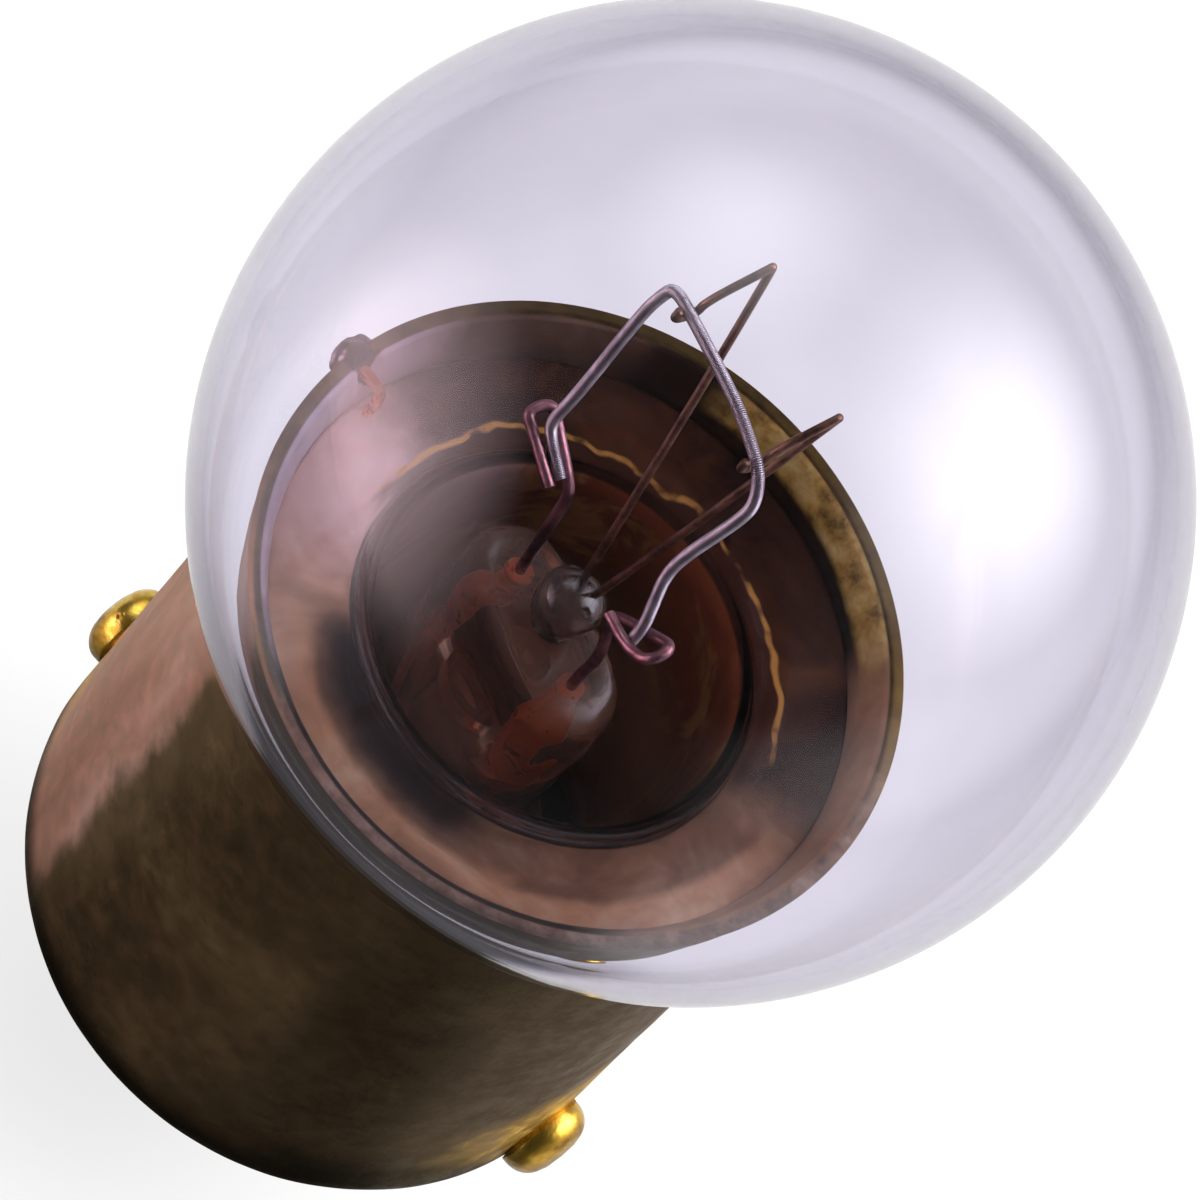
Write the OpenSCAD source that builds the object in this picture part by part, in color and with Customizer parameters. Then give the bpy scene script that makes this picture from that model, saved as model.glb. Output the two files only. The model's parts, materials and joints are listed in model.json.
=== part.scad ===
// Miniature bulb: a blown glass globe on a two-pin bayonet cap with one centre contact.
// Millimetres. The origin is on the cap's axis in the plane of the two pins, +Z towards the globe.
// The filament and its wires are drawn in the mount's own directions: x along the filament, y behind it.

/* [Globe] */
// Diameter of the glass globe
globe_d = 22; // [18:0.5:25]
// Height of the globe's centre above the pins
globe_z = 22; // [20:0.25:24]
// Thickness of the blown glass
glass_wall = 0.4; // [0.35:0.05:0.6]
// Radius of the shoulder where the globe turns in over the rim
shoulder_r = 1.8; // [1.2:0.1:2.4]
// Outside diameter of the neck inside the cap
neck_d = 9.8; // [9.4:0.1:11]
// Height of the neck's lower end above the pins
neck_z = 2.6; // [2.4:0.1:4]

/* [Cap shell] */
// Outside diameter of the cap
shell_d = 15.2; // [15:0.1:18]
// Thickness of the brass sheet
shell_wall = 0.35; // [0.25:0.05:0.5]
// Distance from the globe's underside down to the rim
rim_gap = 0.15; // [0.1:0.05:0.5]
// Distance from the pins down to the turned-in end
shell_drop = 1.8; // [1.5:0.1:3]
// Outer radius of the rounded corner at the end
corner_r = 1.6; // [0.8:0.1:1.8]
// How far the rim turns outwards
rim_flare = 0.45; // [0.1:0.05:0.8]
// Height over which the rim turns outwards
flare_h = 1.1; // [0.6:0.1:2]

/* [Bayonet pins] */
// Diameter of a pin
pin_d = 2.2; // [1.8:0.1:2.4]
// How far a pin stands out of the shell
pin_stand = 0.8; // [0.6:0.05:1.2]
// Radius of the rounded edge at a pin's outer end
pin_edge_r = 0.3; // [0.1:0.05:0.5]
// Diameter of the shank that goes through the shell
shank_d = 1.8; // [1.4:0.1:2]
// Diameter of the rivet head inside the shell
head_d = 2.8; // [2.5:0.1:3.2]
// Thickness of the rivet head
head_t = 0.3; // [0.2:0.05:0.5]

/* [Insulator and contact] */
// Diameter of the hole in the shell's end
end_hole_d = 10.8; // [9:0.1:11.4]
// Diameter of the insulator's lower face
insulator_d = 7.4; // [6.6:0.1:8]
// Depth of the insulator's lower face below the pins
insulator_z = 5.3; // [4.6:0.1:6]
// Diameter of the contact plate
plate_d = 6.2; // [5:0.1:6.6]
// Thickness of the contact plate
plate_t = 0.3; // [0.2:0.05:0.5]
// Diameter of the solder button
button_d = 4.6; // [3.4:0.1:4.8]
// Height of the solder button
button_h = 0.9; // [0.6:0.05:1.2]

/* [Stem] */
// Turn of the filament against the pins, in degrees
mount_turn = -18; // [-40:1:40]
// Sideways set of the stem along the filament
stem_x = -0.5; // [-0.6:0.1:0.6]
// Outside diameter of the stem tube
stem_d = 5.2; // [4.8:0.1:5.6]
// Thickness of the stem's glass
stem_wall = 0.5; // [0.35:0.05:0.6]
// Diameter of the flare that closes the neck
flare_d = 7.8; // [7.4:0.1:8.4]
// Height of the top of the pinched end above the pins
press_z = 14.1; // [13:0.1:15]
// Height of the pinched end
press_h = 4; // [3:0.1:5]
// Thickness of the pinched end at its top
press_t = 2.7; // [2.2:0.1:3.4]
// Diameter of the exhaust tube
exhaust_d = 1.7; // [1.4:0.1:1.9]
// Thickness of the exhaust tube's glass
exhaust_wall = 0.35; // [0.25:0.05:0.5]
// Height of the exhaust tube's melted tip above the pins
exhaust_z = 0.9; // [0.8:0.1:2]

/* [Filament and its wires] */
// Diameter of the coiled filament
coil_d = 0.3; // [0.24:0.02:0.4]
// Diameter of the lead wires above the stem
lead_d = 0.28; // [0.22:0.02:0.32]
// How far the sealing wires stand outwards from midway between the exhaust tube and the stem's wall
seal_shift = 0; // [-0.1:0.05:0.1]
// Diameter of the copper-coated sealing wires
seal_d = 0.5; // [0.4:0.05:0.6]
// Diameter of the support wires
support_d = 0.2; // [0.16:0.02:0.24]
// Diameter of the glass bead that holds the supports
bead_d = 1.7; // [1.4:0.1:2.1]
// Height of the bead's centre above the pinched end
bead_rise = 1.2; // [1:0.1:1.6]
// Height of the filament's ends above the pinched end
coil_low = 3.2; // [2.8:0.1:4]
// Height of the filament's corners above its ends
coil_rise = 7.9; // [6:0.1:8.4]
// Distance that the supports stand behind the filament
support_back = 1.7; // [1.2:0.1:2]

/* [Hidden] */
$fn = 64;

// Clearance between two pieces that lie against each other
fit = 0.02;
// Angle step of the curved outlines, in degrees
step = 4;

globe_r = globe_d / 2;
neck_r = neck_d / 2;
shell_r = shell_d / 2;
pin_r = pin_d / 2;
pin_reach = shell_r + pin_stand;

// The globe's outline: sphere down to shoulder_from, shoulder round to shoulder_to, then a fillet to the neck
shoulder_from = 58;
shoulder_to = 12;
neck_fillet = 0.8;
shoulder_c = [
    (globe_r - shoulder_r) * sin(shoulder_from),
    globe_z - (globe_r - shoulder_r) * cos(shoulder_from)
];
shoulder_end = shoulder_c + shoulder_r * [sin(shoulder_to), -cos(shoulder_to)];
fillet_r = neck_r + neck_fillet;
fillet_z = shoulder_end[1] - (shoulder_end[0] - fillet_r) * tan(shoulder_to)
    - neck_fillet / cos(shoulder_to);
globe_under = shoulder_c[1] - shoulder_r;
rim_z = globe_under - rim_gap;

// The lip that closes the neck's lower end, and the flare that is melted onto it
lip_reach = 0.9;
lip_hole_r = flare_d / 2 - lip_reach;
lip_top = neck_z + glass_wall;
flare_bend_r = 1.2;

stem_r = stem_d / 2;
bore_r = stem_r - stem_wall;
press_bottom = press_z - press_h;

// The stem's tube runs up into the pinch, and the exhaust tube ends just inside it
tube_top = press_bottom + 0.6;
exhaust_top = tube_top - 0.05;

// The sealing wires start below the pinch and stop under a cover of glass
seal_foot = 0.4;
seal_cover = 0.35;
seal_low = press_bottom - seal_foot;
seal_top = press_z - seal_cover;

bead_z = press_z + bead_rise;
stalk_r = bead_d * 0.27;
coil_z0 = press_z + coil_low;
coil_z1 = coil_z0 + coil_rise;

// Where the lead wires stand along the filament
seal_out = (exhaust_d / 2 + bore_r) / 2 + seal_shift;
left_x = stem_x - seal_out;
right_x = stem_x + seal_out;

// The lead that is brought up to the rim runs close inside the shell
outer_lead_d = 0.3;
lead_in = 0.35;
lead_run_r = shell_r - shell_wall - lead_in;
notch_w = 0.6;
notch_h = 0.6;
solder_r = 0.6;

// The cement stops below the rim, and its lower face lies above the neck's end
cement_drop = 1.3;
cement_lift = 0.3;
cement_top = rim_z - cement_drop;
cement_low = neck_z + cement_lift;

// The black glass fills about half the depth below the pins, round the contact's hole
contact_hole_r = 0.7;
insulator_top = 0.2 - shell_drop / 2;
barrel_h = 0.9;
plate_top = -insulator_z - fit;
plate_under = plate_top - plate_t;
button_end = plate_under - fit - button_h;

// Points on an arc about c, from angle a0 to a1
function arc(c, r, a0, a1) = [
    for (i = [0 : ceil(abs(a1 - a0) / step)])
        let (a = a0 + (a1 - a0) * i / ceil(abs(a1 - a0) / step)) c + r * [cos(a), sin(a)]
];

function reversed(list) = [for (i = [len(list) - 1 : -1 : 0]) list[i]];

// The globe's outline, drawn in by t, from the top of the globe down to height low on the neck
function glass_outline(t, low) = concat(
    [[0, globe_z + globe_r - t]],
    arc([0, globe_z], globe_r - t, 90 - step, shoulder_from - 90),
    arc(shoulder_c, shoulder_r - t, shoulder_from - 90 - step, shoulder_to - 90),
    arc([fillet_r, fillet_z], neck_fillet + t, 90 + shoulder_to, 180),
    [[neck_r - t, low]]
);

// The shell's outline, drawn in by t, from the end up to the rim
flare_bend = (pow(flare_h, 2) + pow(rim_flare, 2)) / (2 * rim_flare);
function shell_outline(t) = concat(
    arc([shell_r - corner_r, corner_r - shell_drop], corner_r - t, -90, 0),
    arc([shell_r + flare_bend, rim_z - flare_h], flare_bend + t, 180, 180 - asin(flare_h / (flare_bend + t)))
);

// One pass of corner cutting, which rounds the bends of a wire
function cut_corners(p) = concat(
    [p[0]],
    [for (i = [0 : len(p) - 2], k = [0.25, 0.75]) p[i] * (1 - k) + p[i + 1] * k],
    [p[len(p) - 1]]
);

function unit(v) = v / norm(v);

// Direction of a wire at point i
function along(p, i) = unit(p[min(i + 1, len(p) - 1)] - p[max(i - 1, 0)]);

// The mount's directions turned into the cap's
function turned(p) = [
    p[0] * cos(mount_turn) - p[1] * sin(mount_turn),
    p[0] * sin(mount_turn) + p[1] * cos(mount_turn),
    p[2]
];

// A direction square to v
function across(v) = unit(cross(v, abs(v[2]) < 0.9 * norm(v) ? [0, 0, 1] : [1, 0, 0]));

// Side directions at the points of a wire, each turned as little as possible from the one before
function across_all(p, i = 0, u = undef) =
    i == len(p) ? [] :
    let (t = along(p, i), w = i == 0 ? across(t) : unit(u - (u * t) * t)) concat([w], across_all(p, i + 1, w));

// A round wire of diameter d swept along points p
module wire(p, d, sides = 8) {
    n = len(p);
    u = across_all(p);
    rings = [
        for (i = [0 : n - 1])
            let (v = cross(along(p, i), u[i]))
                for (k = [0 : sides - 1]) p[i] + d / 2 * (cos(360 * k / sides) * u[i] + sin(360 * k / sides) * v)
    ];
    walls = [
        for (i = [0 : n - 2], k = [0 : sides - 1])
            let (a = i * sides + k, b = i * sides + (k + 1) % sides)
                each [[a, a + sides, b + sides], [a, b + sides, b]]
    ];
    start = [for (k = [1 : sides - 2]) [0, k, k + 1]];
    last = (n - 1) * sides;
    end = [for (k = [1 : sides - 2]) [last, last + k + 1, last + k]];
    polyhedron(rings, concat(walls, start, end));
}

// A wire whose bends are rounded by two passes of corner cutting
module bent_wire(p, d) {
    wire(cut_corners(cut_corners(p)), d);
}

// A straight round bar of radius r from point a to point b
module bar(a, b, r) {
    v = b - a;
    translate(a)
        rotate([0, acos(v[2] / norm(v)), atan2(v[1], v[0])])
            cylinder(h = norm(v), r = r);
}

// How far the filament's two ends stand outside the sealing wires
left_spread = 1.95;
right_spread = 0.3;
left_end_x = left_x - left_spread;
right_end_x = right_x + right_spread;

// The filament's line: out of the left clamp, up, across the two supports and down to the right clamp
filament_line = [
    [left_end_x + 1.15, 0, coil_z0 - 0.1],
    [left_end_x + 0.15, 0, coil_z0 + 0.3],
    [left_end_x, 0, coil_z0 + 0.75],
    [left_end_x + 0.05, 0, coil_z0 + coil_rise * 0.25],
    [left_end_x - 0.08, 0, coil_z1 - 1.8],
    [left_end_x - 0.02, 0, coil_z1 - 0.9],
    [left_end_x + 0.1, 0, coil_z1 - 0.1],
    [left_end_x + 1, 0, coil_z1 + 0.03],
    [left_end_x + 3, 0, coil_z1 + 0.25],
    [right_end_x - 1.4, 0, coil_z1 + 0.15],
    [right_end_x - 0.6, 0, coil_z1],
    [right_end_x - 0.1, 0, coil_z1 - 0.7],
    [right_end_x - 0.1, 0, coil_z1 - 1.6],
    [right_end_x - 0.45, 0, coil_z0 + coil_rise * 0.47],
    [right_end_x - 0.5, 0, coil_z0 + coil_rise * 0.32],
    [right_end_x - 0.25, 0, coil_z0 + coil_rise * 0.2],
    [right_end_x, 0, coil_z0 + 0.7],
    [right_end_x + 0.02, 0, coil_z0 - 0.1]
];

// Half the opening of a hook that goes round the filament without touching it
hook_gap = 0.05;
hook = coil_d / 2 + support_d / 2 + hook_gap;

// A support's line: out of the bead, up to its tip, and folded forward round the filament at point c
function support_line(c, foot_x) = [
    [foot_x, 0.2, bead_z + 0.1],
    [(foot_x + c[0]) / 2, (0.2 + support_back) / 2, (bead_z + c[2] + 1.3) / 2],
    [c[0] - 0.1, support_back, c[2] + 1.2],
    [c[0] - 0.05, support_back - 0.15, c[2] + 1.25],
    [c[0], hook, c[2] + 0.35],
    [c[0], hook, c[2] - hook],
    [c[0], -hook, c[2] - hook],
    [c[0], -hook, c[2] + 0.15]
];
support_foot = 0.16;
left_support_line = support_line([left_end_x + 0.75, 0, coil_z1], stem_x - support_foot);
right_support_line = support_line([right_end_x - 0.8, 0, coil_z1 - 0.05], stem_x + support_foot);

// Half the opening of a clamp that is folded over the filament's end
clamp = coil_d / 2 + lead_d / 2 + fit;
left_lead_line = [
    [left_x, 0, seal_top + fit],
    [left_x - 0.1, 0, press_z + 0.5],
    [left_x - 0.3, 0.15, press_z + 1.6],
    [left_x - 0.5, clamp, press_z + 2.4],
    [left_x - 0.65, clamp, coil_z0 - 0.35],
    [left_end_x, clamp, coil_z0 + 0.25],
    [left_end_x - 0.47, clamp, coil_z0 + 0.45],
    [left_end_x - 0.47, -clamp, coil_z0 + 0.3],
    [left_end_x - 0.1, -clamp, coil_z0 + 0.2],
    [left_end_x + 1.25, -clamp, coil_z0 - 0.15]
];
right_lead_line = [
    [right_x, 0, seal_top + fit],
    [right_x - 0.05, 0.05, press_z + 0.5],
    [right_x - 0.05, 0.15, press_z + 1.2],
    [right_x - 0.55, clamp, press_z + 2.2],
    [right_x - 0.5, clamp, coil_z0 - 0.75],
    [right_end_x + 0.15, clamp, coil_z0 + 0.35],
    [right_end_x + 0.75, clamp, coil_z0 + 1],
    [right_end_x + 0.85, -clamp, coil_z0 + 0.75],
    [right_end_x + 0.25, -clamp, coil_z0 + 0.15],
    [right_end_x - 0.7, -clamp, coil_z0]
];

// Glass globe and neck, with the lip that closes the neck's lower end
module glass_bulb() {
    color([0.8, 0.78, 0.86, 0.4])
        rotate_extrude()
            polygon(concat(
                glass_outline(0, neck_z),
                [[lip_hole_r, neck_z], [lip_hole_r, lip_top]],
                reversed(glass_outline(glass_wall, lip_top))
            ));
}

// Outline of half the stem: the flat brim, the flare and the tube, drawn in by t
function stem_outline(t) = concat(
    [[stem_r - t, tube_top]],
    arc([stem_r + flare_bend_r, lip_top + fit + stem_wall + flare_bend_r], flare_bend_r + t, 180, 270)
);

// The tube's upper end is pinched to a thick blade round the sealing wires
module press() {
    side_r = 0.6;
    swell = 0.15;
    wide = stem_r + swell;
    low_half = stem_r - 0.2;
    half_t = press_t / 2;
    intersection() {
        translate([0, 0, press_bottom])
            cylinder(h = press_h, r = wide);
        rotate([90, 0, 0])
            translate([0, 0, -wide])
                linear_extrude(2 * wide)
                    polygon(concat(
                        [[-low_half, press_bottom], [low_half, press_bottom]],
                        [[wide, press_bottom + press_h * 0.4]],
                        arc([wide - side_r, press_z - side_r], side_r, 0, 90),
                        arc([side_r - wide, press_z - side_r], side_r, 90, 180),
                        [[-wide, press_bottom + press_h * 0.4]]
                    ));
        rotate([90, 0, 90])
            translate([0, 0, -wide])
                linear_extrude(2 * wide)
                    polygon(concat(
                        [[-low_half, press_bottom], [low_half, press_bottom]],
                        [[half_t + swell, press_bottom + press_h * 0.6]],
                        arc([half_t - side_r, press_z - side_r], side_r, 0, 90),
                        arc([side_r - half_t, press_z - side_r], side_r, 90, 180),
                        [[-half_t - swell, press_bottom + press_h * 0.6]]
                    ));
    }
}

// Flared stem tube with its pinched end, bored for the two sealing wires and the exhaust tube
module glass_stem() {
    color([0.7, 0.66, 0.66, 0.5])
        rotate([0, 0, mount_turn])
            translate([stem_x, 0, 0])
                difference() {
                    union() {
                        rotate_extrude()
                            polygon(concat(
                                [[0, tube_top]],
                                stem_outline(0),
                                [[flare_d / 2, lip_top + fit + stem_wall], [flare_d / 2, lip_top + fit]],
                                reversed(stem_outline(stem_wall)),
                                [[0, tube_top]]
                            ));
                        press();
                    }
                    translate([0, 0, lip_top])
                        cylinder(h = press_bottom - lip_top, r = bore_r);
                    for (x = [-seal_out, seal_out])
                        translate([x, 0, seal_low])
                            cylinder(h = press_z - seal_low + 1, r = seal_d / 2 + fit);
                    translate([0, 0, press_bottom - 0.1])
                        cylinder(h = 0.7, r = exhaust_d / 2 + fit);
                }
}

// Exhaust tube, melted shut at its lower tip
module exhaust_tube() {
    r = exhaust_d / 2;
    inner = r - exhaust_wall;
    color([0.75, 0.72, 0.74, 0.5])
        rotate([0, 0, mount_turn])
            translate([stem_x, 0, 0])
                rotate_extrude()
                    polygon(concat(
                        [[inner, exhaust_top], [r, exhaust_top]],
                        arc([0, exhaust_z + r], r, 0, -90),
                        arc([0, exhaust_z + r], inner, -90, 0)
                    ));
}

// Glass bead on its short stalk, bored for the two supports
module stem_bead() {
    color([0.35, 0.3, 0.3, 0.6])
        rotate([0, 0, mount_turn])
            difference() {
                translate([stem_x, 0, 0])
                    union() {
                        translate([0, 0, bead_z])
                            sphere(d = bead_d);
                        translate([0, 0, press_z + fit])
                            cylinder(h = bead_rise, r = stalk_r);
                    }
                for (line = [left_support_line, right_support_line])
                    bar(line[0], line[1], support_d / 2 + fit);
            }
}

// Support wire that carries the filament's left corner
module support_wire_left() {
    color([0.45, 0.34, 0.3])
        rotate([0, 0, mount_turn])
            bent_wire(left_support_line, support_d);
}

// Support wire that carries the filament's right corner
module support_wire_right() {
    color([0.45, 0.34, 0.3])
        rotate([0, 0, mount_turn])
            bent_wire(right_support_line, support_d);
}

// Inner lead, folded over the filament's left end
module lead_wire_left() {
    color([0.5, 0.35, 0.36])
        rotate([0, 0, mount_turn])
            bent_wire(left_lead_line, lead_d);
}

// Inner lead, folded over the filament's right end
module lead_wire_right() {
    color([0.5, 0.35, 0.36])
        rotate([0, 0, mount_turn])
            bent_wire(right_lead_line, lead_d);
}

// A copper-coated wire that passes through the glass at x along the filament
module seal_wire(x) {
    color([0.72, 0.42, 0.28])
        rotate([0, 0, mount_turn])
            translate([x, 0, seal_low])
                cylinder(h = seal_top - seal_low, d = seal_d);
}

module seal_wire_left() {
    seal_wire(left_x);
}

module seal_wire_right() {
    seal_wire(right_x);
}

// Coiled filament as the round outline of its coil
module filament() {
    color([0.62, 0.58, 0.62])
        rotate([0, 0, mount_turn])
            bent_wire(filament_line, coil_d);
}

// Lead from the left sealing wire, round the neck's end and up to the notch in the rim
module shell_lead() {
    low = (pin_r + neck_z) / 2 + 0.1;
    notch_z = rim_z - notch_h / 2;
    color([0.7, 0.5, 0.35])
        bent_wire([
            turned([left_x, 0, seal_low - fit]),
            turned([left_x, 0, lip_top + 1]),
            turned([left_x - 0.2, 0, low + 0.3]),
            [left_x - 1.6, 0.1, low],
            [-lead_run_r + 0.6, 0, low],
            [-lead_run_r, 0, low],
            [-lead_run_r, 0, low + 0.6],
            [-lead_run_r, 0, rim_z / 2],
            [-lead_run_r, 0, notch_z - 0.7],
            [-lead_run_r, 0, notch_z],
            [-lead_run_r - 0.6, 0, notch_z],
            [-shell_r - rim_flare - 0.1, 0, notch_z]
        ], outer_lead_d);
}

// Lead from the right sealing wire down through the insulator to the contact
module contact_lead() {
    color([0.7, 0.5, 0.35])
        bent_wire([
            turned([right_x, 0, seal_low - fit]),
            turned([right_x, 0, lip_top + 1]),
            turned([right_x - 0.1, 0, neck_z - 0.6]),
            turned([right_x / 2, 0, exhaust_z - 0.3]),
            [0, 0, insulator_top + 0.2],
            [0, 0, insulator_top - 0.5],
            [0, 0, plate_top],
            [0, 0, plate_under - 0.35]
        ], outer_lead_d);
}

// Brass shell: turned-in end, rounded corner, straight wall and flared rim with a notch for the lead
module cap_shell() {
    color([0.45, 0.36, 0.26])
        difference() {
            rotate_extrude()
                polygon(concat(
                    [[end_hole_d / 2, shell_wall - shell_drop], [end_hole_d / 2, -shell_drop]],
                    shell_outline(0),
                    reversed(shell_outline(shell_wall))
                ));
            rotate([0, 90, 0])
                cylinder(h = 2 * shell_d, r = shank_d / 2 + fit, center = true);
            translate([-shell_d, -notch_w / 2, rim_z - notch_h])
                cube([shell_d, notch_w, notch_h + 1]);
        }
}

// A bayonet pin on the +X side: rivet head shaped by the shell's inside, shank, and a rounded stud outside
module pin() {
    crown = 0.1;
    inside = sqrt(pow(shell_r - shell_wall, 2) - pow(head_d / 2, 2)) - head_t;
    color([0.85, 0.7, 0.35]) {
        rotate([0, 90, 0])
            rotate_extrude()
                polygon(concat(
                    [[0, inside], [shank_d / 2, inside], [shank_d / 2, shell_r + fit], [pin_r, shell_r + fit]],
                    arc([pin_r - pin_edge_r, pin_reach - pin_edge_r - crown], pin_edge_r, 0, 80),
                    [[0, pin_reach]]
                ));
        intersection() {
            translate([inside, 0, 0])
                rotate([0, 90, 0])
                    cylinder(h = shell_wall + head_d, d = head_d);
            rotate_extrude()
                polygon(concat([[0, -shell_drop]], shell_outline(shell_wall + fit), [[0, rim_z]]));
        }
    }
}

module pin_left() {
    rotate([0, 0, 180])
        pin();
}

module pin_right() {
    pin();
}

// Ring of hard cement that holds the neck in the shell, with a channel for the rim lead
module basing_cement() {
    channel = outer_lead_d + 2 * fit;
    color([0.75, 0.68, 0.58])
        difference() {
            translate([0, 0, cement_low])
                cylinder(h = cement_top - cement_low, r = shell_r - shell_wall - fit);
            translate([0, 0, cement_low - 1])
                cylinder(h = cement_top - cement_low + 2, r = neck_r + fit);
            translate([-shell_d, -channel / 2, cement_low - 1])
                cube([shell_d, channel, cement_top - cement_low + 2]);
        }
}

// Black glass poured into the shell's end, tapering to the contact
module insulator() {
    inside_r = shell_r - corner_r - 0.1;
    hole_r = end_hole_d / 2 - fit;
    color([0.08, 0.07, 0.08])
        rotate_extrude()
            polygon([
                [contact_hole_r, insulator_top],
                [inside_r, insulator_top],
                [inside_r, shell_wall - shell_drop + fit],
                [hole_r, shell_wall - shell_drop + fit],
                [hole_r, -shell_drop - 0.15],
                [insulator_d / 2 + 0.5, 0.7 - insulator_z],
                [insulator_d / 2, 0.2 - insulator_z],
                [insulator_d / 2 - 0.3, -insulator_z],
                [contact_hole_r, -insulator_z]
            ]);
}

// Contact plate with a short barrel in the insulator's hole
module contact_plate() {
    barrel_r = contact_hole_r - fit;
    inner_r = outer_lead_d / 2 + 0.15;
    color([0.78, 0.62, 0.36])
        rotate_extrude()
            polygon([
                [inner_r, plate_top + barrel_h],
                [barrel_r, plate_top + barrel_h],
                [barrel_r, plate_top],
                [plate_d / 2, plate_top],
                [plate_d / 2, plate_under + 0.1],
                [plate_d / 2 - 0.1, plate_under],
                [inner_r, plate_under]
            ]);
}

// Button of solder on the contact plate, worn flat at its tip, over the lead's end
module contact_solder() {
    flat_r = button_d * 0.2;
    r = button_d / 2;
    bend = (pow(r - flat_r, 2) + pow(button_h, 2)) / (2 * button_h);
    turn = asin((r - flat_r) / bend);
    color([0.62, 0.62, 0.64])
        difference() {
            rotate_extrude()
                polygon(concat(
                    [[0, plate_under - fit]],
                    arc([flat_r, button_end + bend], bend, turn - 90, -90),
                    [[0, button_end]]
                ));
            translate([0, 0, plate_under - 0.4])
                cylinder(h = 1, r = outer_lead_d / 2 + fit);
        }
}

// Drop of solder on the outside of the rim, over the lead's end
module rim_solder() {
    notch_z = rim_z - notch_h / 2;
    color([0.55, 0.52, 0.5])
        difference() {
            translate([-shell_r - rim_flare, 0, notch_z - 0.05])
                sphere(r = solder_r);
            rotate_extrude()
                polygon(concat([[0, -shell_drop]], shell_outline(-fit), [[0, rim_z]]));
            translate([-shell_d, 0, notch_z])
                rotate([0, 90, 0])
                    cylinder(h = shell_d, r = outer_lead_d / 2 + fit);
            rotate_extrude()
                polygon(concat(glass_outline(-fit, neck_z), [[0, neck_z]]));
        }
}

glass_bulb();
glass_stem();
exhaust_tube();
stem_bead();
support_wire_left();
support_wire_right();
lead_wire_left();
lead_wire_right();
seal_wire_left();
seal_wire_right();
filament();
shell_lead();
contact_lead();
cap_shell();
pin_left();
pin_right();
basing_cement();
insulator();
contact_plate();
contact_solder();
rim_solder();
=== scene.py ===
# %% [markdown]
# # A miniature bulb, piece by piece
# This lesson dresses a small glass bulb that was first drawn as solid parts.
# The solid parts fix every size and place. Here they get fine surfaces and real materials.
# The order is the order of the real object: glass, wires, metal cap, then light and camera.

# %% Start from the packed model
import json
import math
import bpy
import bmesh
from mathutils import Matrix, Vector, noise

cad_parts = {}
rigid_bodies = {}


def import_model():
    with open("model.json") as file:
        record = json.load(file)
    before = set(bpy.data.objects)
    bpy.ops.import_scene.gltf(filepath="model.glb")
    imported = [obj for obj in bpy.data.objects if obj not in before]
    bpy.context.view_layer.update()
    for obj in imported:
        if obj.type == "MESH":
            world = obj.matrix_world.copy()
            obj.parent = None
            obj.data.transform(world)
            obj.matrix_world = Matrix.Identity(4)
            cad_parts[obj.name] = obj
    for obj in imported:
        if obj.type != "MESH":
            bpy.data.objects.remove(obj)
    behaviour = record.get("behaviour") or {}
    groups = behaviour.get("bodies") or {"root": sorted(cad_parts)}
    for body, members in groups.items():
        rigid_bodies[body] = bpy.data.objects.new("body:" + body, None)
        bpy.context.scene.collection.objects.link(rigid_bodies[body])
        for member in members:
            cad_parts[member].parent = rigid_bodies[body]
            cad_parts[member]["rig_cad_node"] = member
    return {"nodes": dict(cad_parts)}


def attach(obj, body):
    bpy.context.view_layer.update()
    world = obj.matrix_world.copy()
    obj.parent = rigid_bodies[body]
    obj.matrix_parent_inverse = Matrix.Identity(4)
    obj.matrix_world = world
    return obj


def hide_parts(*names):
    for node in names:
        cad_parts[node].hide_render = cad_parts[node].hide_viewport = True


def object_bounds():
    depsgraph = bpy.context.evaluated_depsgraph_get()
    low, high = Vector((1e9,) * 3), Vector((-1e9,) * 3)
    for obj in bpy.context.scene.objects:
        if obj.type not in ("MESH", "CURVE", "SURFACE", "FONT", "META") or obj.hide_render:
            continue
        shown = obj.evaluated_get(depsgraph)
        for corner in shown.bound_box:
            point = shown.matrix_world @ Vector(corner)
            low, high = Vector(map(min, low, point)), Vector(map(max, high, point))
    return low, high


MM = 0.001
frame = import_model()
nodes = frame["nodes"]
cad_box = [list(corner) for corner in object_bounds()]
print("pieces:", len(nodes), "height in mm:", round((cad_box[1][2] - cad_box[0][2]) / MM, 2))

# %% [markdown]
# ## Turning an outline
# Most pieces of a bulb are round about one axis, because they were blown, drawn or pressed that way.
# So one helper spins a closed outline about the Z axis. It could be done by hand with the Spin tool,
# but in code the outline stays a list of real sizes. Outlines are in millimetres, as on a drawing.
# A last step may dent or flatten the turned form, because nothing on an old lamp is perfectly round.

# %% Spin an outline
def add_object(name, mesh):
    bmesh.ops.recalc_face_normals(mesh, faces=mesh.faces)
    data = bpy.data.meshes.new(name)
    mesh.to_mesh(data)
    mesh.free()
    data.shade_smooth()
    piece = bpy.data.objects.new(name, data)
    bpy.context.scene.collection.objects.link(piece)
    print(name, "faces:", len(data.polygons))
    return piece


def spin(name, outline, around=192, shape=None):
    """Turns a closed outline of (radius, height) points about the axis; shape may move each point."""
    mesh = bmesh.new()
    rings = []
    for r, z in outline:
        count = 1 if r < 1e-6 else around
        ring = []
        for k in range(count):
            a = 2 * math.pi * k / around
            point = Vector((r * math.cos(a), r * math.sin(a), z))
            ring.append(mesh.verts.new((shape(point) if shape else point) * MM))
        rings.append(ring)
    for low, high in zip(rings, rings[1:] + rings[:1]):
        if len(low) == len(high) == 1:
            continue
        for k in range(around):
            m = (k + 1) % around
            corners = [low[k % len(low)], low[m % len(low)], high[m % len(high)], high[k % len(high)]]
            mesh.faces.new(list(dict.fromkeys(corners)))
    return add_object(name, mesh)


print("an outline can be spun")

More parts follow.
